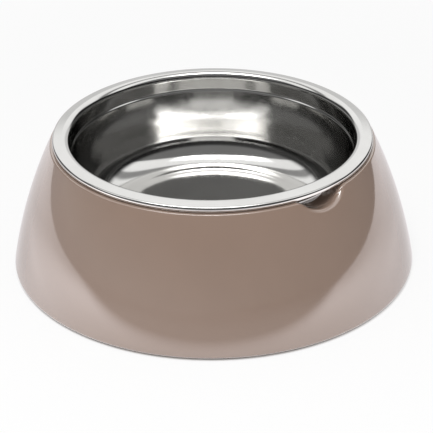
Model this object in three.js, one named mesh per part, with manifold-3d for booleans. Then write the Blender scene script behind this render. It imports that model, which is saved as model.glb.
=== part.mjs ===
import * as THREE from 'three';
import { mergeVertices } from 'three/addons/utils/BufferGeometryUtils.js';
import Module from 'manifold-3d';

// Pet food bowl: a polished steel bowl that lifts out of a hollow moulded base on rubber feet.
// Millimetres, +Z up. The origin is on the floor below the middle of the bowl, and the finger recess in
// the base faces -Y. A profile point is a Vector2 of radius and height.

// Base, outside
const baseBottomDiameter = 255; // at the lower edge, before it is rounded
const baseHeight = 81.1; // from the lower edge to the seat
const wallBulge = 3; // how far the wall swells out from a straight cone
const lowerEdgeRadius = 1.5;
const upperEdgeRadius = 1.2;

// Base, inside
const baseWall = 3;
const seatThickness = 3;
const collarDepth = 7; // below the underside of the seat
const collarThickness = 2.4;

// Finger recess, a round scoop from the base's upper edge through to the opening
const recessRadius = 18.5; // of the ball that shapes it
const recessInset = 5.5; // centre of the ball, in from the upper edge
const recessRise = 8; // centre of the ball above the seat
const recessWall = 2.5; // plastic under the scoop

// Steel bowl
const sheetThickness = 0.8;
const flangeDiameter = 199.2;
const edgeHeight = 3.6; // of the rolled edge
const edgeBend = 1.2; // outside of the rolled edge's two bends
const edgeLean = THREE.MathUtils.degToRad(12); // its side leans in by this towards the seat
const edgeEnd = THREE.MathUtils.degToRad(-150); // where its curl stops
const flangeRise = 0.9; // top of the lip above the top of the rolled edge
const lipRadius = 4.2;
const flangeWidth = 11; // from the outside of the rolled edge in to the neck
const neckDepth = 11.5; // from the top of the lip to the shoulder
const shoulderStep = 1; // the tapered wall starts this much inside the neck
const shoulderDrop = 1.2;
const bowlDepth = 60; // from the top of the lip to the floor of the bowl
const bowlTaper = THREE.MathUtils.degToRad(8);
const cornerRadius = 20; // between the wall and the floor of the bowl

// Feet
const footCount = 6;
const footStandoff = 1.5; // lower edge of the base above the floor
const footHeadDiameter = 13;
const footHeadRecess = 1.9; // part of the head that sits in its boss
const footChamfer = 0.8;
const footStemDiameter = 6;
const footBarbDiameter = 9;
const footTipDiameter = 4.5;
const footBarbLength = 3.5;
const bossWall = 2.4; // plastic round the head of a foot
const bossWeb = 3; // plastic that a foot clips through
const bossBite = 1; // how far a boss runs into the wall

// Fits
const bowlClearance = 0.6; // neck of the bowl in the collar
const seatGap = 0.3; // rolled edge over the seat
const seatMargin = 1.35; // seat past the rolled edge, all round
const footGap = 0.3; // foot in its boss

// Fineness of the round surfaces
const roundSteps = 48;
const footSteps = 16;
const wallSteps = 9;
const edgeSteps = 3;
const bendSteps = 6;

const up = Math.PI / 2;
const point = (radius, height) => new THREE.Vector2(radius, height);

const arc = (centre, radius, from, to, steps) =>
  Array.from({ length: steps + 1 }, (_, i) => {
    const angle = THREE.MathUtils.lerp(from, to, i / steps);
    return point(centre.x + radius * Math.cos(angle), centre.y + radius * Math.sin(angle));
  });

const turned = (profile, steps = roundSteps) => new THREE.LatheGeometry(profile, steps).rotateX(up);

const wasm = await Module();
wasm.setup();

// Closed geometry to a solid: vertices welded, and the triangles that vanish on the axis dropped.
function solid(geometry) {
  const bare = geometry.clone();
  bare.deleteAttribute('normal');
  bare.deleteAttribute('uv');
  const welded = mergeVertices(bare);
  const corners = welded.index.array;
  const triVerts = [];
  for (let i = 0; i < corners.length; i += 3) {
    const [a, b, c] = corners.slice(i, i + 3);
    if (a !== b && b !== c && c !== a) triVerts.push(a, b, c);
  }
  return new wasm.Manifold(new wasm.Mesh({
    numProp: 3,
    vertProperties: Float32Array.from(welded.attributes.position.array),
    triVerts: Uint32Array.from(triVerts),
  }));
}

function geometryOf(body) {
  const { vertProperties, triVerts } = body.getMesh();
  const geometry = new THREE.BufferGeometry();
  geometry.setAttribute('position', new THREE.BufferAttribute(vertProperties, 3));
  geometry.setIndex(new THREE.BufferAttribute(triVerts, 1));
  geometry.computeVertexNormals();
  return geometry;
}

// Heights and radii that several pieces share
const lowerEdge = point(baseBottomDiameter / 2, footStandoff);
const upperEdge = point(flangeDiameter / 2 + seatMargin, footStandoff + baseHeight);
const seatHeight = upperEdge.y;
const neckRadius = flangeDiameter / 2 - flangeWidth;
const openingRadius = neckRadius + sheetThickness + bowlClearance;
const socketTop = footStandoff + footHeadRecess + footGap;
const bossTop = socketTop + bossWeb;
const bossRadius = footHeadDiameter / 2 + footGap + bossWall;

// The wall of the base is one arc through both edges, bulging by wallBulge at half height.
const chord = upperEdge.clone().sub(lowerEdge);
const wallRadius = chord.lengthSq() / (8 * wallBulge) + wallBulge / 2;
const wallOutward = point(chord.y, -chord.x).normalize();
const wallCentre = lowerEdge.clone().lerp(upperEdge, 0.5);
wallCentre.addScaledVector(wallOutward, wallBulge - wallRadius);
const wallAt = (radius, height) => wallCentre.x + Math.sqrt(radius ** 2 - (height - wallCentre.y) ** 2);
const wallAngle = (spot) => Math.atan2(spot.y - wallCentre.y, spot.x - wallCentre.x);

const footCircle = wallAt(wallRadius - baseWall, bossTop) - bossRadius + bossBite;
const footPlaces = Array.from({ length: footCount }, (_, i) => {
  const angle = (2 * Math.PI * (i + 0.5)) / footCount;
  return [footCircle * Math.cos(angle), footCircle * Math.sin(angle)];
});

// Outside of the base as a full body: the wall arc with a rounding tangent to it at each edge.
function baseOutside() {
  const lowHeight = lowerEdge.y + lowerEdgeRadius;
  const highHeight = upperEdge.y - upperEdgeRadius;
  const low = point(wallAt(wallRadius - lowerEdgeRadius, lowHeight), lowHeight);
  const high = point(wallAt(wallRadius - upperEdgeRadius, highHeight), highHeight);
  return turned([
    point(0, lowerEdge.y),
    ...arc(low, lowerEdgeRadius, -up, wallAngle(low), edgeSteps),
    ...arc(wallCentre, wallRadius, wallAngle(low), wallAngle(high), wallSteps).slice(1, -1),
    ...arc(high, upperEdgeRadius, wallAngle(high), up, edgeSteps),
    point(0, seatHeight),
  ]);
}

// Hollow of the base below the seat, open at the bottom.
function baseHollow() {
  const inside = wallRadius - baseWall;
  const bottom = lowerEdge.y - baseWall;
  const top = seatHeight - seatThickness;
  const start = point(wallAt(inside, bottom), bottom);
  const end = point(wallAt(inside, top), top);
  return turned([
    point(0, bottom),
    ...arc(wallCentre, inside, wallAngle(start), wallAngle(end), wallSteps),
    point(0, top),
  ]);
}

// The collar reaches half way up into the seat, and the opening trims its inside.
function collarRing() {
  const inner = openingRadius - collarThickness;
  const outer = openingRadius + collarThickness;
  const bottom = seatHeight - seatThickness - collarDepth;
  const top = seatHeight - seatThickness / 2;
  return turned([
    point(inner, bottom),
    point(outer, bottom),
    point(outer, top),
    point(inner, top),
    point(inner, bottom),
  ]);
}

function openingBore() {
  const bottom = lowerEdge.y - baseWall;
  const top = seatHeight + seatThickness;
  return turned([
    point(0, bottom),
    point(openingRadius, bottom),
    point(openingRadius, top),
    point(0, top),
  ]);
}

// The scoop is part of a ball whose centre hangs over the seat.
function recessBall(extra) {
  const ball = new THREE.SphereGeometry(recessRadius + extra, roundSteps, roundSteps / 2);
  return ball.translate(0, recessInset - upperEdge.x, seatHeight + recessRise);
}

function bossBlock() {
  return turned([
    point(0, lowerEdge.y),
    point(bossRadius, lowerEdge.y),
    point(bossRadius, bossTop),
    point(0, bossTop),
  ], footSteps);
}

function bossSocket() {
  const head = footHeadDiameter / 2 + footGap;
  const stem = footStemDiameter / 2 + footGap;
  return turned([
    point(0, lowerEdge.y - bossWeb),
    point(head, lowerEdge.y - bossWeb),
    point(head, socketTop),
    point(stem, socketTop),
    point(stem, bossTop + bossWeb),
    point(0, bossTop + bossWeb),
  ], footSteps);
}

function baseShell() {
  const outside = solid(baseOutside());
  const skin = solid(recessBall(recessWall)).intersect(outside);
  let shell = outside.subtract(solid(baseHollow())).add(solid(collarRing())).add(skin);
  for (const [x, y] of footPlaces) {
    shell = shell.add(solid(bossBlock().translate(x, y, 0)).intersect(outside));
    shell = shell.subtract(solid(bossSocket().translate(x, y, 0)));
  }
  return geometryOf(shell.subtract(solid(openingBore())).subtract(solid(recessBall(0))));
}

// A path moved sideways by one distance, to the right of its direction, with mitred corners.
function beside(path, distance) {
  const sides = path.slice(1).map((end, i) => {
    const along = end.clone().sub(path[i]).normalize();
    return point(along.y, -along.x);
  });
  return path.map((spot, i) => {
    const before = sides[Math.max(i - 1, 0)];
    const after = sides[Math.min(i, sides.length - 1)];
    const mitre = before.clone().add(after).normalize();
    return spot.clone().addScaledVector(mitre, distance / mitre.dot(after));
  });
}

// Inside of the bowl from its middle to the end of the rolled edge. The flange is the straight line that
// touches the lip's arc and the edge's upper bend from above.
function bowlInside() {
  const edgeBottom = seatHeight + seatGap;
  const edgeTop = edgeBottom + edgeHeight;
  const upperBend = point(flangeDiameter / 2 - edgeBend, edgeTop - edgeBend);
  const leanIn = (edgeHeight - 2 * edgeBend) * Math.tan(edgeLean);
  const lowerBend = point(upperBend.x - leanIn, edgeBottom + edgeBend);
  const lipTop = edgeTop + flangeRise;
  const lip = point(neckRadius + lipRadius, lipTop - lipRadius);
  const span = upperBend.clone().sub(lip);
  const flangeTilt = Math.asin((lipRadius - edgeBend) / span.length()) - Math.atan2(span.y, span.x);
  const shoulder = lipTop - neckDepth;
  const wallTop = point(neckRadius - shoulderStep, shoulder - shoulderDrop);
  const floor = lipTop - bowlDepth;
  const cornerHeight = floor + cornerRadius;
  const wallAtCorner = wallTop.x - (wallTop.y - cornerHeight) * Math.tan(bowlTaper);
  const corner = point(wallAtCorner - cornerRadius / Math.cos(bowlTaper), cornerHeight);
  return [
    point(0, floor),
    ...arc(corner, cornerRadius, -up, -bowlTaper, bendSteps),
    wallTop,
    point(neckRadius, shoulder),
    ...arc(lip, lipRadius, Math.PI, up - flangeTilt, bendSteps),
    ...arc(upperBend, edgeBend, up - flangeTilt, -edgeLean, bendSteps),
    ...arc(lowerBend, edgeBend, -edgeLean, edgeEnd, bendSteps),
  ];
}

function steelBowl() {
  const inside = bowlInside();
  const outside = beside(inside, sheetThickness);
  return geometryOf(solid(turned([...outside, ...inside.reverse()])));
}

function foot() {
  const headTop = footStandoff + footHeadRecess;
  const barbBottom = bossTop + footGap;
  return geometryOf(solid(turned([
    point(0, 0),
    point(footHeadDiameter / 2 - footChamfer, 0),
    point(footHeadDiameter / 2, footChamfer),
    point(footHeadDiameter / 2, headTop),
    point(footStemDiameter / 2, headTop),
    point(footStemDiameter / 2, barbBottom),
    point(footBarbDiameter / 2, barbBottom),
    point(footTipDiameter / 2, barbBottom + footBarbLength),
    point(0, barbBottom + footBarbLength),
  ], footSteps)));
}

function piece(name, geometry, material) {
  const mesh = new THREE.Mesh(geometry, new THREE.MeshStandardMaterial(material));
  mesh.name = name;
  return mesh;
}

const taupePlastic = { color: 0x968275, roughness: 0.2, metalness: 0 };
const polishedSteel = { color: 0xd6d6d4, roughness: 0.1, metalness: 1 };
const darkRubber = { color: 0x2a2a2b, roughness: 0.85, metalness: 0 };

const petBowl = new THREE.Group();
petBowl.add(piece('base_shell', baseShell(), taupePlastic));
petBowl.add(piece('steel_bowl', steelBowl(), polishedSteel));
footPlaces.forEach(([x, y], i) => {
  const rubberFoot = piece(`foot_${i + 1}`, foot(), darkRubber);
  rubberFoot.position.set(x, y, 0);
  petBowl.add(rubberFoot);
});

export default petBowl;
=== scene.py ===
import bpy
import math
import numpy as np
from mathutils import Matrix, Vector


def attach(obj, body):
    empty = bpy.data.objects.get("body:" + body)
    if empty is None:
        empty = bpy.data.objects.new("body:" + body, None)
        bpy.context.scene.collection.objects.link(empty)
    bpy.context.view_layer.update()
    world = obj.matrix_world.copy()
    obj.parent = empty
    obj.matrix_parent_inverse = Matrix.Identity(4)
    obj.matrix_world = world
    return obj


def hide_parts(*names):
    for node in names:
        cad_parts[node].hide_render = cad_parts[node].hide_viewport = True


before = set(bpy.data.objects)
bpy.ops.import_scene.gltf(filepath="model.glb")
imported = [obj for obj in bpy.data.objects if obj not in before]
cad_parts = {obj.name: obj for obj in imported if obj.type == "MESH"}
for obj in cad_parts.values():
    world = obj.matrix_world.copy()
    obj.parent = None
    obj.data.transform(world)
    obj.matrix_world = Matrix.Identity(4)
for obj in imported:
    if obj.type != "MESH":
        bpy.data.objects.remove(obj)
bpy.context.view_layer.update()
scene = bpy.context.scene
mm = 0.001  # shapes are worked out in millimetres, meshes are in metres
samePoint = 1e-5  # mm, points closer than this are one
upAxis = Vector((0, 0, 1))
plainWhite = (1, 1, 1, 1)
print("frame loaded:", len(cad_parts), "nodes")

cameraView = {
    "azimuth": -39.7,  # degrees, the finger recess is to the right of the middle
    "elevation": 28.58,
    "roll": -0.571,
    "distance": 1100.0,  # mm from the point it looks at
    "aimHeight": 26.67,
    "aimAside": 2.01,
    "focal": 1724.1,  # pixels, in a picture 433 wide
    "pictureWidth": 433,
    "sensor": 36.0,
    "clip": (0.02, 50.0),  # m
}


# Unit vectors to the camera's right, up and back for an azimuth and an elevation, before any roll.
def viewAxes(azimuth, elevation):
    a, e = math.radians(azimuth), math.radians(elevation)
    right = Vector((math.cos(a), math.sin(a), 0))
    back = Vector((math.sin(a) * math.cos(e), -math.cos(a) * math.cos(e), math.sin(e)))
    return right, back.cross(right), back


def makeCamera(view):
    right, up, back = viewAxes(view["azimuth"], view["elevation"])
    c, s = math.cos(math.radians(view["roll"])), math.sin(math.radians(view["roll"]))
    axes = Matrix((right * c + up * s, up * c - right * s, back)).transposed()
    aim = right * view["aimAside"] + upAxis * view["aimHeight"]
    data = bpy.data.cameras.new("photoCamera")
    data.sensor_width = view["sensor"]
    data.lens = view["focal"] / view["pictureWidth"] * view["sensor"]
    data.clip_start, data.clip_end = view["clip"]
    camera = bpy.data.objects.new("photoCamera", data)
    camera.matrix_world = Matrix.Translation((aim + back * view["distance"]) * mm) @ axes.to_4x4()
    scene.collection.objects.link(camera)
    scene.camera = camera


makeCamera(cameraView)
print("camera set")


# Profiles and meshes

# Arc: centre plus radius times the cosine and sine of evenly spaced angles, in degrees.
def arcPoints(centre, radius, start, end, count):
    t = np.radians(np.linspace(start, end, count))
    return np.column_stack((centre[0] + radius * np.cos(t), centre[1] + radius * np.sin(t)))


# Straight run: points from start to end, spaced by half a cosine wave so that they crowd at both ends
# and the shading stays flat right up to the bends.
def runPoints(start, end, count):
    t = (0.5 - 0.5 * np.cos(np.linspace(0, np.pi, count)))[:, None]
    return (1 - t) * np.asarray(start, float) + t * np.asarray(end, float)


# Path through corners: straight runs, and at each inner corner an arc of that corner's radius that touches
# both runs. The arc's centre lies on the line that halves the corner, at radius / sin(half the angle).
def bentPath(corners, radii, runCount, bendCount):
    spots = [np.array(c, float) for c in corners]
    parts, last = [], spots[0]
    for i, radius in enumerate(radii, 1):
        toBefore, toAfter = spots[i - 1] - spots[i], spots[i + 1] - spots[i]
        toBefore, toAfter = toBefore / np.linalg.norm(toBefore), toAfter / np.linalg.norm(toAfter)
        half = math.acos(np.clip(toBefore @ toAfter, -1, 1)) / 2
        middle = (toBefore + toAfter) / np.linalg.norm(toBefore + toAfter)
        centre = spots[i] + middle * radius / math.sin(half)
        start = spots[i] + toBefore * radius / math.tan(half)
        end = spots[i] + toAfter * radius / math.tan(half)
        first = math.degrees(math.atan2(*(start - centre)[::-1]))
        turn = math.degrees(math.atan2(*(end - centre)[::-1])) - first
        turn = (turn + 180) % 360 - 180
        parts += [runPoints(last, start, runCount), arcPoints(centre, radius, first, first + turn, bendCount)]
        last = end
    return joinPath(*parts, runPoints(last, spots[-1], runCount))


# Pieces of a path in one array, without the points that two neighbours share.
def joinPath(*parts):
    path = np.concatenate(parts)
    step = np.linalg.norm(np.diff(path, axis=0), axis=1)
    return path[np.concatenate(([True], step > samePoint))]


# Profile of radius and height turned about the vertical axis: x and y are the radius times the cosine and
# sine of each column's angle, z is the height. The grid has one row for each profile point.
def turnedGrid(profile, angles):
    radius, height = profile[:, :1], profile[:, 1:]
    return np.stack((radius * np.cos(angles), radius * np.sin(angles), height + 0 * angles), axis=-1)


# Mesh of one or more grids. Columns always close on themselves, rows close where the profile is a loop, and
# otherwise both ends are closed with a fan. Faces are turned round where the enclosed volume is negative.
def makePiece(name, grids, loop, material):
    vertices, faces, start = [], [], 0
    for grid in grids:
        rows, columns = grid.shape[:2]
        row, column = np.meshgrid(np.arange(rows if loop else rows - 1), np.arange(columns), indexing="ij")
        near, far = row * columns, (row + 1) % rows * columns
        beside = (column + 1) % columns
        quads = np.stack((near + column, near + beside, far + beside, far + column), axis=-1).reshape(-1, 4)
        points = grid.reshape(-1, 3)
        fans = np.zeros((0, 3), int)
        if not loop:
            ring = np.arange(columns)
            nextOne = (ring + 1) % columns
            last = (rows - 1) * columns
            points = np.vstack((points, grid[0].mean(axis=0), grid[-1].mean(axis=0)))
            fans = np.vstack((
                np.column_stack((nextOne, ring, 0 * ring + rows * columns)),
                np.column_stack((ring + last, nextOne + last, 0 * ring + rows * columns + 1)),
            ))
        corner = points[quads]
        volume = np.einsum("ij,ij->", corner[:, 0], np.cross(corner[:, 1], corner[:, 2]))
        volume += np.einsum("ij,ij->", corner[:, 0], np.cross(corner[:, 2], corner[:, 3]))
        if volume < 0:
            quads, fans = quads[:, ::-1], fans[:, ::-1]
        vertices.append(points)
        faces += (quads + start).tolist() + (fans + start).tolist()
        start += len(points)
    mesh = bpy.data.meshes.new(name)
    mesh.from_pydata((np.vstack(vertices) * mm).tolist(), [], faces)
    mesh.polygons.foreach_set("use_smooth", np.ones(len(mesh.polygons), bool))
    mesh.materials.append(material)
    mesh.update()
    piece = bpy.data.objects.new(name, mesh)
    scene.collection.objects.link(piece)
    return piece


# Nodes

def emptyTree(owner):
    owner.use_nodes = True
    owner.node_tree.nodes.clear()
    return owner.node_tree


def addNode(tree, kind, inputs=None, **settings):
    node = tree.nodes.new(kind)
    for key, value in settings.items():
        setattr(node, key, value)
    for key, value in (inputs or {}).items():
        if isinstance(value, bpy.types.NodeSocket):
            tree.links.new(value, node.inputs[key])
        else:
            node.inputs[key].default_value = value
    return node


# Value stretched from 0..1 (or lowIn..highIn) to low..high.
def spread(tree, value, low, high, lowIn=0.0, highIn=1.0):
    node = addNode(tree, "ShaderNodeMapRange", {0: value, 1: lowIn, 2: highIn, 3: low, 4: high})
    return node.outputs[0]


# Smooth step from 0 at start to 1 at end.
def easeOver(tree, value, start, end):
    node = addNode(tree, "ShaderNodeMapRange", {0: value, 1: start, 2: end}, interpolation_type="SMOOTHSTEP")
    return node.outputs[0]


def mathNode(tree, operation, first, second=0.0, third=0.0):
    return addNode(tree, "ShaderNodeMath", {0: first, 1: second, 2: third}, operation=operation).outputs[0]


def product(tree, first, *others):
    for other in others:
        first = mathNode(tree, "MULTIPLY", first, other)
    return first


def vectorValue(tree, operation, first, second=(0, 0, 0)):
    node = addNode(tree, "ShaderNodeVectorMath", {0: first, 1: second}, operation=operation)
    return node.outputs["Value"]


def mixColour(tree, factor, first, second):
    node = addNode(tree, "ShaderNodeMix", {0: factor, 6: first, 7: second}, data_type="RGBA")
    return node.outputs[2]


def mixShader(tree, factor, first, second):
    return addNode(tree, "ShaderNodeMixShader", {0: factor, 1: first.outputs[0], 2: second.outputs[0]})


# Materials

driftLook = {
    "Patch": {"noise": {"Detail": 3.0, "Roughness": 0.55}, "span": (0.3, 0.7)},  # the span becomes 0..1
    "Grain": {"noise": {"Detail": 2.0, "Roughness": 0.5}, "span": (0.25, 0.75)},
}


# Soft patches and fine grain that every finish has: two noises at sizes of their own, each stretched to 0..1.
def makeSurfaceDrift(look):
    group = bpy.data.node_groups.new("surfaceDrift", "ShaderNodeTree")
    group.interface.new_socket("Vector", in_out="INPUT", socket_type="NodeSocketVector")
    for name in look:
        group.interface.new_socket(name + "Scale", in_out="INPUT", socket_type="NodeSocketFloat")
        group.interface.new_socket(name, in_out="OUTPUT", socket_type="NodeSocketFloat")
    start = addNode(group, "NodeGroupInput").outputs
    end = addNode(group, "NodeGroupOutput").inputs
    for name, kind in look.items():
        reads = {"Vector": start["Vector"], "Scale": start[name + "Scale"]}
        noise = addNode(group, "ShaderNodeTexNoise", {**reads, **kind["noise"]})
        group.links.new(spread(group, noise.outputs[0], 0, 1, *kind["span"]), end[name])
    return group


surfaceDrift = makeSurfaceDrift(driftLook)


def objectPlace(tree):
    return addNode(tree, "ShaderNodeTexCoord").outputs["Object"]


# Material with its tree, the sockets of its shader, and the drift's two masks.
def newMaterial(name, look):
    material = bpy.data.materials.new(name)
    tree = emptyTree(material)
    shader = addNode(tree, "ShaderNodeBsdfPrincipled")
    addNode(tree, "ShaderNodeOutputMaterial", {"Surface": shader.outputs[0]})
    drift = addNode(tree, "ShaderNodeGroup", node_tree=surfaceDrift)
    tree.links.new(objectPlace(tree), drift.inputs["Vector"])
    drift.inputs["PatchScale"].default_value = look["patches"]
    drift.inputs["GrainScale"].default_value = look["grain"]
    return material, tree, shader.inputs, drift.outputs["Patch"], drift.outputs["Grain"]


# Colour between two shades by the patches, roughness by a wear mask, bump from a height.
def finishSurface(tree, sockets, look, patch, wear, height):
    tree.links.new(mixColour(tree, patch, look["colour"], look["shade"]), sockets["Base Color"])
    tree.links.new(spread(tree, wear, *look["gloss"]), sockets["Roughness"])
    bump = addNode(tree, "ShaderNodeBump", {"Height": height, "Strength": 1.0, "Distance": look["bump"]})
    tree.links.new(bump.outputs[0], sockets["Normal"])


plasticLook = {
    "colour": (0.305, 0.218, 0.172, 1),
    "shade": (0.292, 0.208, 0.164, 1),  # where the moulding came out a touch deeper
    "gloss": (0.05, 0.09),  # roughness, from polished to handled
    "patches": 22.0,  # per metre
    "grain": 420.0,
    "bump": 0.0000025,  # height of the moulded skin's ripple, m
    "ior": 1.8,
    "coat": 1.0,
    "coatIor": 1.6,
    "coatGloss": 0.04,
}


def makePlastic(look):
    material, tree, sockets, patch, grain = newMaterial("taupePlastic", look)
    finishSurface(tree, sockets, look, patch, patch, grain)
    sockets["IOR"].default_value = look["ior"]
    sockets["Coat Weight"].default_value = look["coat"]
    sockets["Coat IOR"].default_value = look["coatIor"]
    sockets["Coat Roughness"].default_value = look["coatGloss"]
    return material


steelLook = {
    "colour": (0.70, 0.695, 0.68, 1),
    "shade": (0.64, 0.635, 0.62, 1),
    "gloss": (0.07, 0.17),
    "patches": 30.0,
    "grain": 300.0,
    "marks": 2600.0,  # polishing marks per metre of radius or height
    "markNoise": {"Detail": 3.0, "Roughness": 0.7},
    "markSpan": (0.3, 0.7),
    "wander": 0.0006,  # how far a mark strays from a true circle, m
    "bump": 0.0000008,  # depth of a mark, m
}


# Polishing marks run round the axis: a noise read at the point's radius and height, both shifted a little by
# a slow noise, so that each mark is a nearly closed ring.
def makeSteel(look):
    material, tree, sockets, patch, grain = newMaterial("polishedSteel", look)
    split = addNode(tree, "ShaderNodeSeparateXYZ", {0: objectPlace(tree)}).outputs
    flat = addNode(tree, "ShaderNodeCombineXYZ", {0: split[0], 1: split[1]})
    stray = spread(tree, patch, 0, look["wander"])
    ringRadius = mathNode(tree, "ADD", vectorValue(tree, "LENGTH", flat.outputs[0]), stray)
    ringHeight = mathNode(tree, "ADD", split[2], stray)
    ring = addNode(tree, "ShaderNodeCombineXYZ", {0: ringRadius, 1: ringHeight})
    reads = {"Vector": ring.outputs[0], "Scale": look["marks"]}
    marks = addNode(tree, "ShaderNodeTexNoise", {**reads, **look["markNoise"]})
    mark = spread(tree, marks.outputs[0], 0, 1, *look["markSpan"])
    finishSurface(tree, sockets, look, patch, product(tree, mark, grain), mark)
    sockets["Metallic"].default_value = 1.0
    return material


rubberLook = {
    "colour": (0.026, 0.026, 0.027, 1),
    "shade": (0.045, 0.044, 0.043, 1),  # a bloom of dust
    "gloss": (0.62, 0.85),
    "patches": 160.0,
    "grain": 2400.0,
    "bump": 0.00004,
}


def makeRubber(look):
    material, tree, sockets, patch, grain = newMaterial("darkRubber", look)
    finishSurface(tree, sockets, look, patch, grain, grain)
    return material


taupePlastic = makePlastic(plasticLook)
polishedSteel = makeSteel(steelLook)
darkRubber = makeRubber(rubberLook)
print("materials made")


# Base

baseShape = {
    "bottomRadius": 127.47,  # mm, at the lower edge before it is rounded
    "topRadius": 100.95,  # at the seat
    "standoff": 1.5,  # lower edge above the floor
    "height": 81.1,  # lower edge to seat
    "bulge": 3.0,
    "lowerEdge": 1.5,
    "upperEdge": 1.3,
    "wall": 3.0,
    "seat": 3.0,
    "opening": 90.0,
    "collar": 7.0,
    "collarWall": 2.4,
    "collarBend": 1.0,  # between the collar and the underside of the seat
    "crownBend": 1.5,  # between the wall and the underside of the seat
    "softEdge": 0.6,  # small roundings inside
    "fineOutside": 14.0,  # below the seat, the wall has fine rows for the scoop
    "fineInside": 18.0,
}
baseRows = {
    "wall": 26, "fineWall": 34, "lowerEdge": 8, "upperEdge": 9, "seat": 26, "opening": 26, "softEdge": 6,
    "collar": 8, "crown": 7,
}
recessShape = {
    "ball": 19.2,  # radius
    "inset": 7.0,  # the ball's centre in from the upper edge
    "rise": 10.0,  # and above the seat
    "wall": 2.5,  # plastic under the scoop
    "rimEdge": 4.2,  # how far its rim is rounded on the wall,
    "openingEdge": 0.5,  # at the opening,
    "underEdge": 2.0,  # and under the scoop
    "spine": (95.5, 63.0),  # radius and height of a ring inside the plastic, below the scoop
    "span": 14.0,  # degrees each side with a fine mesh
    "fineColumns": 141,
    "otherColumns": 266,
}
seatHeight = baseShape["standoff"] + baseShape["height"]
chordOut = baseShape["bottomRadius"] - baseShape["topRadius"]
wallRadius = (chordOut ** 2 + baseShape["height"] ** 2) / (8 * baseShape["bulge"]) + baseShape["bulge"] / 2
chordLength = math.hypot(chordOut, baseShape["height"])
wallCentre = np.array((
    (baseShape["bottomRadius"] + baseShape["topRadius"]) / 2
    + baseShape["height"] / chordLength * (baseShape["bulge"] - wallRadius),
    (baseShape["standoff"] + seatHeight) / 2 + chordOut / chordLength * (baseShape["bulge"] - wallRadius),
))


# Radius at a height on an arc about the wall's centre: the centre's own, plus the root of the arc's radius
# squared less the height above the centre squared.
def wallAt(radius, height):
    return wallCentre[0] + np.sqrt(radius ** 2 - (height - wallCentre[1]) ** 2)


# Angle at which a spot is seen from the wall's centre, and the height of an arc about that centre there.
def wallAngle(spot, radius):
    angle = math.degrees(math.atan2(spot[1] - wallCentre[1], spot[0] - wallCentre[0]))
    return angle, wallCentre[1] + radius * math.sin(math.radians(angle))


# Points of the wall between two heights: wide steps low down, fine ones near the top, where the scoop is.
def wallPoints(radius, low, high, fineFrom, rows):
    wide = np.linspace(low, fineFrom, rows["wall"])[:-1]
    heights = np.concatenate((wide, np.linspace(fineFrom, high, rows["fineWall"])))
    return np.column_stack((wallAt(radius, heights), heights))


# Section of the base, once round: up the outside, over the seat and down the opening, then round the collar
# and down the inside of the wall. Gives the parts that the scoop acts on in different ways, and for each
# point of the first how far the scoop's rim is rounded there.
def baseSection(shape, recess, rows):
    bottom, edge, top, soft = shape["standoff"], shape["lowerEdge"], shape["upperEdge"], shape["softEdge"]
    low = (wallAt(wallRadius - edge, bottom + edge), bottom + edge)
    high = (wallAt(wallRadius - top, seatHeight - top), seatHeight - top)
    lowAngle, lowEnd = wallAngle(low, wallRadius)
    highAngle, highEnd = wallAngle(high, wallRadius)
    opening, under = shape["opening"], seatHeight - shape["seat"]
    collarEnd, collarOut = under - shape["collar"], opening + shape["collarWall"]
    outside = joinPath(
        arcPoints(low, edge, -90, lowAngle, rows["lowerEdge"]),
        wallPoints(wallRadius, lowEnd, highEnd, seatHeight - shape["fineOutside"], rows),
        arcPoints(high, top, highAngle, 90, rows["upperEdge"]),
        np.linspace((high[0], seatHeight), (opening + soft, seatHeight), rows["seat"]),
        arcPoints((opening + soft, seatHeight - soft), soft, 90, 180, rows["softEdge"]),
        np.linspace((opening, seatHeight - soft), (opening, collarEnd + soft), rows["opening"]),
    )
    seatSpan = (opening + soft, shape["topRadius"])
    ease = np.interp(outside[:, 0], seatSpan, (recess["openingEdge"], recess["rimEdge"]))
    inner, bend = wallRadius - shape["wall"], shape["crownBend"]
    crown = (wallAt(inner - bend, under - bend), under - bend)
    crownAngle, crownEnd = wallAngle(crown, inner)
    foot = (wallAt(inner + soft, bottom + soft), bottom + soft)
    footAngle, footEnd = wallAngle(foot, inner)
    collar = [(opening, collarEnd + soft), (opening, collarEnd), (collarOut, collarEnd), (collarOut, under),
              (crown[0], under)]
    inside = joinPath(
        bentPath(collar, [soft, soft, shape["collarBend"]], rows["collar"], rows["softEdge"]),
        arcPoints(crown, bend, 90, crownAngle, rows["crown"]),
        wallPoints(inner, footEnd, crownEnd, seatHeight - shape["fineInside"], rows)[::-1],
        arcPoints(foot, soft, footAngle + 180, 270, rows["softEdge"]),
    )
    return outside, ease, inside[1:]


# Section drawn in from a ball: each point slides towards the spine of its column until the larger of two
# depths is nothing, its depth below the section and its depth inside the ball. Where the two differ by less
# than ease, a parabola rounds the change from one to the other. The slide is found by halving.
def drawnIn(profile, angles, ease, centre, radius, spine, halvings=40):
    along = np.gradient(profile, axis=0)
    normal = np.column_stack((along[:, 1], -along[:, 0])) / np.linalg.norm(along, axis=1, keepdims=True)
    reach = np.einsum("ij,ij->i", profile - spine, normal)[:, None]
    ease = ease[:, None]
    start = turnedGrid(np.broadcast_to(np.array(spine), profile.shape), angles)
    way = turnedGrid(profile, angles) - start
    low, high = np.zeros(way.shape[:2]), np.ones(way.shape[:2])
    for _ in range(halvings):
        slide = (low + high) / 2
        below = (slide - 1) * reach
        within = radius - np.linalg.norm(start + way * slide[..., None] - centre, axis=-1)
        near = np.clip(1 - np.abs(below - within) / ease, 0, 1)
        cut = np.maximum(below, within) + near ** 2 * ease / 4 > 0
        low, high = np.where(cut, low, slide), np.where(cut, slide, high)
    return start + way * high[..., None]


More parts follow.
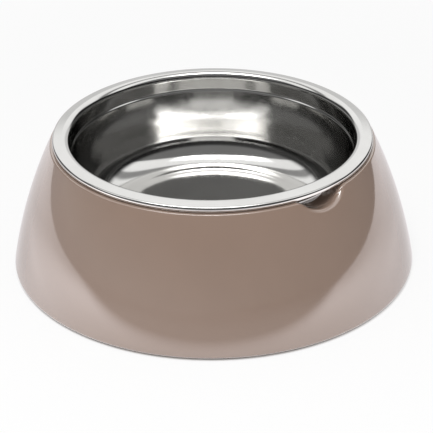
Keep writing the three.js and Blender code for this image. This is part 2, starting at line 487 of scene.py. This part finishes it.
# Grid pushed out of a ball: a point's distance from the ball's centre becomes the larger of itself and the
# radius, and where the two differ by less than ease the step between them is rounded by a parabola. No point
# goes inside the opening.
def pushedOut(grid, centre, radius, ease, opening):
    away = grid - centre
    distance = np.linalg.norm(away, axis=-1, keepdims=True)
    near = np.clip(1 - np.abs(distance - radius) / ease, 0, 1)
    moved = centre + away / distance * (np.maximum(distance, radius) + near ** 2 * ease / 4)
    moved[..., :2] *= np.maximum(1, opening / np.linalg.norm(moved[..., :2], axis=-1, keepdims=True))
    return moved


def makeBase(shape, recess, rows):
    outside, ease, inside = baseSection(shape, recess, rows)
    span = recess["span"]
    fine = np.linspace(-span, span, recess["fineColumns"])
    other = np.linspace(span, 360 - span, recess["otherColumns"])[1:-1]
    angles = np.radians(np.concatenate((fine, other)) - 90)  # the recess faces -Y
    centre = np.array((0, recess["inset"] - shape["topRadius"], seatHeight + recess["rise"]))
    under = recess["ball"] + recess["wall"]
    grid = np.concatenate((
        drawnIn(outside, angles, ease, centre, recess["ball"], recess["spine"]),
        pushedOut(turnedGrid(inside, angles), centre, under, recess["underEdge"], shape["opening"]),
    ))
    piece = makePiece("baseShell", [grid], True, taupePlastic)
    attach(piece, "base")
    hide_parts("base_shell")


makeBase(baseShape, recessShape, baseRows)

# Feet and the bosses that hold them

footShape = {
    "count": 6,
    "head": 6.5,  # radius
    "headTop": 3.4,
    "chamfer": 0.8,
    "stem": 3.0,
    "barb": 4.5,
    "barbBottom": 7.0,
    "tip": 2.25,
    "tipTop": 10.5,
    "middle": 0.2,  # radius of the last ring, which a fan closes
    "bends": (0.5, 0.5, 0.4, 0.3, 0.3, 0.35, 0.8),  # from the chamfer up to the tip
    "circle": 115.27,  # radius of the ring of feet
    "columns": 48,
    "rows": 5,  # on each run and each bend, also of the bosses
}
bossShape = {
    "radius": 9.2,
    "top": 6.7,
    "socket": 6.8,
    "socketTop": 3.7,
    "hole": 3.3,
    "edge": 0.4,
    "lift": 0.02,  # above the base's lower edge, so that no two faces coincide
}
footColumns = np.linspace(0, 2 * np.pi, footShape["columns"] + 1)[:-1]
footAngles = [(i + 0.5) * 2 * math.pi / footShape["count"] for i in range(footShape["count"])]


# A turned grid moved sideways to its place on the ring of feet.
def onRing(grid, angle):
    return grid + footShape["circle"] * np.array((math.cos(angle), math.sin(angle), 0))


def makeBosses(shape, rows):
    radius, top, socket, hole = shape["radius"], shape["top"], shape["socket"], shape["hole"]
    bottom = baseShape["standoff"] + shape["lift"]
    start = ((hole + radius) / 2, top)
    corners = [start, (radius, top), (radius, bottom), (socket, bottom), (socket, shape["socketTop"]),
               (hole, shape["socketTop"]), (hole, top), start]
    section = bentPath(corners, [shape["edge"]] * 6, rows, rows)[:-1]
    grid = turnedGrid(section, footColumns)
    piece = makePiece("footBosses", [onRing(grid, angle) for angle in footAngles], True, taupePlastic)
    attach(piece, "base")


def makeFeet(shape):
    head, stem, middle = shape["head"], shape["stem"], shape["middle"]
    corners = [(middle, 0), (head - shape["chamfer"], 0), (head, shape["chamfer"]), (head, shape["headTop"]),
               (stem, shape["headTop"]), (stem, shape["barbBottom"]), (shape["barb"], shape["barbBottom"]),
               (shape["tip"], shape["tipTop"]), (middle, shape["tipTop"])]
    section = bentPath(corners, shape["bends"], shape["rows"], shape["rows"])
    grid = turnedGrid(section, footColumns)
    for number, angle in enumerate(footAngles, 1):
        piece = makePiece(f"foot{number}", [onRing(grid, angle)], False, darkRubber)
        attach(piece, "base")
        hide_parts(f"foot_{number}")


makeBosses(bossShape, footShape["rows"])
makeFeet(footShape)
print("base and feet made")


# Steel bowl

bowlShape = {
    "sheet": 0.8,
    "flangeRadius": 99.6,
    "edgeHeight": 3.6,  # rolled edge
    "edgeBend": 1.5,
    "edgeFold": 0.9,  # where it turns under
    "edgeLean": 12.0,  # degrees
    "edgeEnd": -150.0,
    "seatGap": 0.3,
    "rise": 0.865,  # top of the lip above the top of the rolled edge
    "lip": 4.2,
    "neck": 88.6,  # inside radius
    "neckDepth": 11.5,
    "shoulderStep": 1.0,
    "shoulderDrop": 1.2,
    "shoulderBend": 1.8,
    "depth": 60.0,
    "taper": 8.0,  # degrees
    "corner": 20.0,
    "middle": 0.3,  # radius of the last ring, which a fan closes
    "columns": 288,
}
bowlRows = {
    "floor": 12, "corner": 26, "wall": 9, "shoulder": 10, "lip": 24, "flange": 8, "edgeBend": 20, "edge": 4,
    "edgeFold": 20, "cut": 8,
}


# Inside of the bowl from its middle to the end of the rolled edge. The flange is the straight line that
# touches the lip's arc and the edge's upper bend from above.
def bowlPath(shape, rows):
    bend, fold, edgeBottom = shape["edgeBend"], shape["edgeFold"], seatHeight + shape["seatGap"]
    edgeTop = edgeBottom + shape["edgeHeight"]
    upper = np.array((shape["flangeRadius"] - bend, edgeTop - bend))
    lean = math.radians(shape["edgeLean"])
    drop = shape["edgeHeight"] - bend - fold
    lower = np.array((upper[0] - drop * math.tan(lean) + (bend - fold) / math.cos(lean), edgeBottom + fold))
    lipTop = edgeTop + shape["rise"]
    lip = np.array((shape["neck"] + shape["lip"], lipTop - shape["lip"]))
    span = upper - lip
    closing = math.asin((shape["lip"] - bend) / np.linalg.norm(span))
    tilt = math.degrees(closing - math.atan2(span[1], span[0]))
    shoulder = lipTop - shape["neckDepth"]
    wallTop = (shape["neck"] - shape["shoulderStep"], shoulder - shape["shoulderDrop"])
    floor = lipTop - shape["depth"]
    taper = math.radians(shape["taper"])
    cornerHeight = floor + shape["corner"]
    wallRun = (wallTop[1] - cornerHeight) * math.tan(taper)
    cornerRadius = wallTop[0] - wallRun - shape["corner"] / math.cos(taper)
    corner = arcPoints((cornerRadius, cornerHeight), shape["corner"], -90, -shape["taper"], rows["corner"])
    flangeStart = arcPoints(lip, shape["lip"], 180, 90 - tilt, rows["lip"])
    upperArc = arcPoints(upper, bend, 90 - tilt, -shape["edgeLean"], rows["edgeBend"])
    lowerArc = arcPoints(lower, fold, -shape["edgeLean"], shape["edgeEnd"], rows["edgeFold"])
    wall = [corner[-1], wallTop, (shape["neck"], shoulder), flangeStart[0]]
    return joinPath(
        runPoints((shape["middle"], floor), corner[0], rows["floor"]),
        corner,
        bentPath(wall, [shape["shoulderBend"]] * 2, rows["wall"], rows["shoulder"]),
        flangeStart,
        runPoints(flangeStart[-1], upperArc[0], rows["flange"]),
        upperArc,
        runPoints(upperArc[-1], lowerArc[0], rows["edge"]),
        lowerArc,
    )


# Path moved sideways by one distance, to the right of its direction: each point goes along its own normal.
def besidePath(path, distance):
    along = np.gradient(path, axis=0)
    along /= np.linalg.norm(along, axis=1, keepdims=True)
    return path + distance * np.column_stack((along[:, 1], -along[:, 0]))


def makeBowl(shape, rows):
    inside = bowlPath(shape, rows)
    outside = besidePath(inside, shape["sheet"])
    middle = (inside[-1] + outside[-1]) / 2  # the cut edge of the sheet, rounded
    reach = inside[-1] - middle
    turn = math.degrees(math.atan2(reach[1], reach[0]))
    edge = arcPoints(middle, shape["sheet"] / 2, turn, turn - 180, rows["cut"])
    section = joinPath(inside, edge, outside[::-1])
    angles = np.linspace(0, 2 * np.pi, shape["columns"] + 1)[:-1]
    piece = makePiece("steelBowl", [turnedGrid(section, angles)], False, polishedSteel)
    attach(piece, "bowl")
    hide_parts("steel_bowl")


makeBowl(bowlShape, bowlRows)
print("bowl made")


# Floor, light and surroundings

rightAxis = viewAxes(cameraView["azimuth"], 0)[0]
forwardAxis = upAxis.cross(rightAxis)

studio = {
    "floorColour": (0.86, 0.86, 0.86, 1),
    "floorHalf": 4.0,  # m
    "cameraFloor": 0.8,  # how much of the floor is plain white to the camera
    "plainFrom": (0.25, 0.9),  # m from the middle, over which all of it becomes so
    "shadedTo": (0.124, 0.128),  # m from the middle, the ground inside the base has its full shade
    "softLight": 0.54,
    "keyWatts": 13.5,
    "keySize": 0.55,  # a soft box, m
    "keyPlace": (-0.15, -0.6, 1.37),  # to the right, forward and up, m
}
# Lit table that the gloss mirrors. Places are in metres to the right of the middle or forward from it, and a
# pair of them is where a change starts and ends.
mirroredTable = {
    "tint": (1.0, 0.955, 0.965, 1),
    "left": (-0.592, -0.568), "right": (0.613, 0.587), "front": (-0.228, -0.142),  # edges
    "frontSlant": 0.11,  # the front edge runs askew on the right
    "corner": 11.0,  # how far the corners are rounded, in widths of the soft edges
    "level": 0.79,
    "farOff": 0.20,  # added away from the bowl's shade,
    "shadeAt": 0.10,  # which lies behind its middle
    "farSpan": (0.15, 0.37),  # from the shade's middle
    "inFront": (0.34, 1.02),  # added in front, in the middle and beside it
    "frontSpan": (0.17, 0.22),  # from the shade's middle
    "frontFade": (0.12, -0.12),
    "besideSpan": (0.0, 0.22),
    "endSpan": (0.23, 0.48),
    "endShare": 0.1,  # what is left of it at its ends
    "rightLevel": 1.02,  # the right side against the left, all over
    "rightInFront": 0.72,  # and in what is added in front
    "rightSpan": (-0.1, 0.1),
}
# What the gloss mirrors round the table. Above the floor, places are parts of a direction of length 1.
mirroredRoom = {
    "level": (0.35, 0.12),  # dim room, left and right
    "floorSpan": (-0.7, 0.7),
    "close": 1.6,  # brighter close to the table's front
    "closeAhead": (-0.6, -0.2),
    "closeAside": (0.45, 0.2),
    "airSpan": (-0.8, 0.8),
    "higher": (1.0, 0.15, 0.0, 0.3),  # dimmer with height: from, to, and the heights
    "backdropAside": (0.62, 0.45),
    "backdropAhead": (0.0, 0.1),
    "overhead": (0.45, 0.62),  # height
    "boxShine": 8.0,  # the soft box overhead
    "boxSpan": (91.0, 96.0, 105.0, 109.0),  # where it starts and ends, degrees over the top from behind
    "boxMiddle": -0.09,
    "boxAside": (0.50, 0.20),
    # levels along an arch from the horizon behind the bowl (0) over the top (0.5) to the one behind the
    # camera (1): a backdrop that is dimmer low down, a gap, a pale ceiling, then the dim and the dark room
    "arch": [
        (0.0, 0.72), (0.095, 0.76), (0.135, 1.14), (0.31, 1.15),
        (0.35, 0.35), (0.40, 0.35),
        (0.43, 1.15), (0.57, 1.15),
        (0.605, 0.21), (0.84, 0.21), (0.88, 0.08), (1.0, 0.07),
    ],
}


# Brightness of the table and of the room past it at a place on the floor. How far the place lies inside each
# of the three edges goes from 0 to 1 across the edge, and the smooth least of the three is the table's mask.
def floorShine(tree, place, table, room):
    across = vectorValue(tree, "DOT_PRODUCT", place, rightAxis)
    ahead = vectorValue(tree, "DOT_PRODUCT", place, forwardAxis)
    aside = mathNode(tree, "ABSOLUTE", across)
    toRight = mathNode(tree, "MAXIMUM", across, 0.0)
    slant = mathNode(tree, "MULTIPLY_ADD", toRight, table["frontSlant"], ahead)
    depths = []
    for spot, (start, end) in ((across, table["left"]), (slant, table["front"]), (across, table["right"])):
        depths.append(mathNode(tree, "DIVIDE", mathNode(tree, "SUBTRACT", spot, start), end - start))
    inside = mathNode(tree, "SMOOTH_MIN", depths[0], depths[1], table["corner"])
    inside = mathNode(tree, "SMOOTH_MIN", inside, depths[2], table["corner"])
    shade = vectorValue(tree, "DISTANCE", place, forwardAxis * table["shadeAt"])
    away = easeOver(tree, shade, *table["farSpan"])
    allOver = product(
        tree,
        mathNode(tree, "MULTIPLY_ADD", away, table["farOff"], table["level"]),
        spread(tree, across, 1.0, table["rightLevel"], *table["rightSpan"]),
    )
    inFront = product(
        tree,
        easeOver(tree, shade, *table["frontSpan"]),
        easeOver(tree, ahead, *table["frontFade"]),
        spread(tree, easeOver(tree, aside, *table["besideSpan"]), *table["inFront"]),
        spread(tree, easeOver(tree, aside, *table["endSpan"]), 1.0, table["endShare"]),
        spread(tree, across, 1.0, table["rightInFront"], *table["rightSpan"]),
    )
    lit = mathNode(tree, "ADD", allOver, inFront)
    close = product(
        tree,
        easeOver(tree, ahead, *room["closeAhead"]),
        easeOver(tree, aside, *room["closeAside"]),
    )
    dim = product(
        tree,
        spread(tree, across, *room["level"], *room["floorSpan"]),
        spread(tree, close, 1.0, room["close"]),
    )
    return addNode(tree, "ShaderNodeMix", {0: easeOver(tree, inside, 0.0, 1.0), 2: dim, 3: lit}).outputs[0]


# Floor: pale and matt, nearly white to the camera, and clear from below. The gloss mirrors the lit table.
def makeFloor(look, table, room):
    material = bpy.data.materials.new("paleFloor")
    tree = emptyTree(material)
    place = objectPlace(tree)
    path = addNode(tree, "ShaderNodeLightPath").outputs
    bright = floorShine(tree, place, table, room)
    shine = addNode(tree, "ShaderNodeEmission", {"Color": table["tint"], "Strength": bright})
    matt = addNode(tree, "ShaderNodeBsdfDiffuse", {"Color": look["floorColour"]})
    white = addNode(tree, "ShaderNodeEmission", {"Color": plainWhite, "Strength": 1.0})
    clear = addNode(tree, "ShaderNodeBsdfTransparent")
    under = addNode(tree, "ShaderNodeNewGeometry").outputs["Backfacing"]
    middle = vectorValue(tree, "LENGTH", place)
    toCamera = product(
        tree,
        spread(tree, easeOver(tree, middle, *look["plainFrom"]), look["cameraFloor"], 1.0),
        easeOver(tree, middle, *look["shadedTo"]),
        path["Is Camera Ray"],
    )
    seen = mixShader(tree, toCamera, matt, white)
    mirrored = mixShader(tree, path["Is Glossy Ray"], seen, shine)
    final = mixShader(tree, under, mirrored, clear)
    addNode(tree, "ShaderNodeOutputMaterial", {"Surface": final.outputs[0]})
    half = look["floorHalf"]
    corners = [(-half, -half, 0), (half, -half, 0), (half, half, 0), (-half, half, 0)]
    mesh = bpy.data.meshes.new("floor")
    mesh.from_pydata(corners, [], [(0, 1, 2, 3)])
    mesh.materials.append(material)
    floor = bpy.data.objects.new("floor", mesh)
    scene.collection.objects.link(floor)


# Level along the arch: a ramp over the angle's share of half a turn.
def archLevel(tree, angle, arch):
    ramp = addNode(tree, "ShaderNodeValToRGB", {0: mathNode(tree, "DIVIDE", angle, math.pi)})
    ramp.color_ramp.interpolation = "EASE"
    stops = ramp.color_ramp.elements
    for position, _ in arch[1:-1]:
        stops.new(position)
    for stop, (position, level) in zip(stops, arch):
        stop.position = position
        stop.color = (level, level, level, 1)
    return ramp.outputs[0]


# World: white to the camera, an even soft light on the object, and to the gloss a room with a backdrop, a
# ceiling and a soft box.
def makeWorld(look, room):
    world = bpy.data.worlds.new("studio")
    tree = emptyTree(world)
    way = addNode(tree, "ShaderNodeTexCoord").outputs["Generated"]
    path = addNode(tree, "ShaderNodeLightPath").outputs
    height = mathNode(tree, "MAXIMUM", vectorValue(tree, "DOT_PRODUCT", way, upAxis), 0.0)
    ahead = vectorValue(tree, "DOT_PRODUCT", way, forwardAxis)
    across = vectorValue(tree, "DOT_PRODUCT", way, rightAxis)
    aside = mathNode(tree, "ABSOLUTE", across)
    angle = mathNode(tree, "ARCTAN2", height, ahead)
    dim = product(
        tree,
        spread(tree, across, *room["level"], *room["airSpan"]),
        spread(tree, height, *room["higher"]),
    )
    backdrop = product(
        tree,
        easeOver(tree, aside, *room["backdropAside"]),
        easeOver(tree, ahead, *room["backdropAhead"]),
    )
    lit = mathNode(tree, "MAXIMUM", backdrop, easeOver(tree, height, *room["overhead"]))
    boxStart, boxFull, boxLess, boxEnd = (math.radians(v) for v in room["boxSpan"])
    boxAside = mathNode(tree, "ABSOLUTE", mathNode(tree, "SUBTRACT", across, room["boxMiddle"]))
    box = product(
        tree,
        easeOver(tree, angle, boxStart, boxFull),
        easeOver(tree, angle, boxEnd, boxLess),
        easeOver(tree, boxAside, *room["boxAside"]),
    )
    level = mixColour(tree, lit, dim, archLevel(tree, angle, room["arch"]))
    level = mixColour(tree, box, level, (room["boxShine"],) * 3 + (1,))
    soft = addNode(tree, "ShaderNodeBackground", {"Color": plainWhite, "Strength": look["softLight"]})
    shine = addNode(tree, "ShaderNodeBackground", {"Color": level, "Strength": 1.0})
    white = addNode(tree, "ShaderNodeBackground", {"Color": plainWhite, "Strength": 1.0})
    mirrored = mixShader(tree, path["Is Glossy Ray"], soft, shine)
    final = mixShader(tree, path["Is Camera Ray"], mirrored, white)
    addNode(tree, "ShaderNodeOutputWorld", {"Surface": final.outputs[0]})
    scene.world = world


# Key lamp, pointed at the middle. The gloss doesn't mirror it, because the room has a soft box of its own.
def makeKey(look):
    lamp = bpy.data.lights.new("softKey", "AREA")
    lamp.energy, lamp.size = look["keyWatts"], look["keySize"]
    key = bpy.data.objects.new("softKey", lamp)
    right, forward, up = look["keyPlace"]
    place = rightAxis * right + forwardAxis * forward + upAxis * up
    key.matrix_world = Matrix.Translation(place) @ place.to_track_quat("Z", "Y").to_matrix().to_4x4()
    key.visible_glossy = False
    scene.collection.objects.link(key)


makeFloor(studio, mirroredTable, mirroredRoom)
makeWorld(studio, mirroredRoom)
makeKey(studio)
scene.view_settings.view_transform = "Standard"
print("studio made")
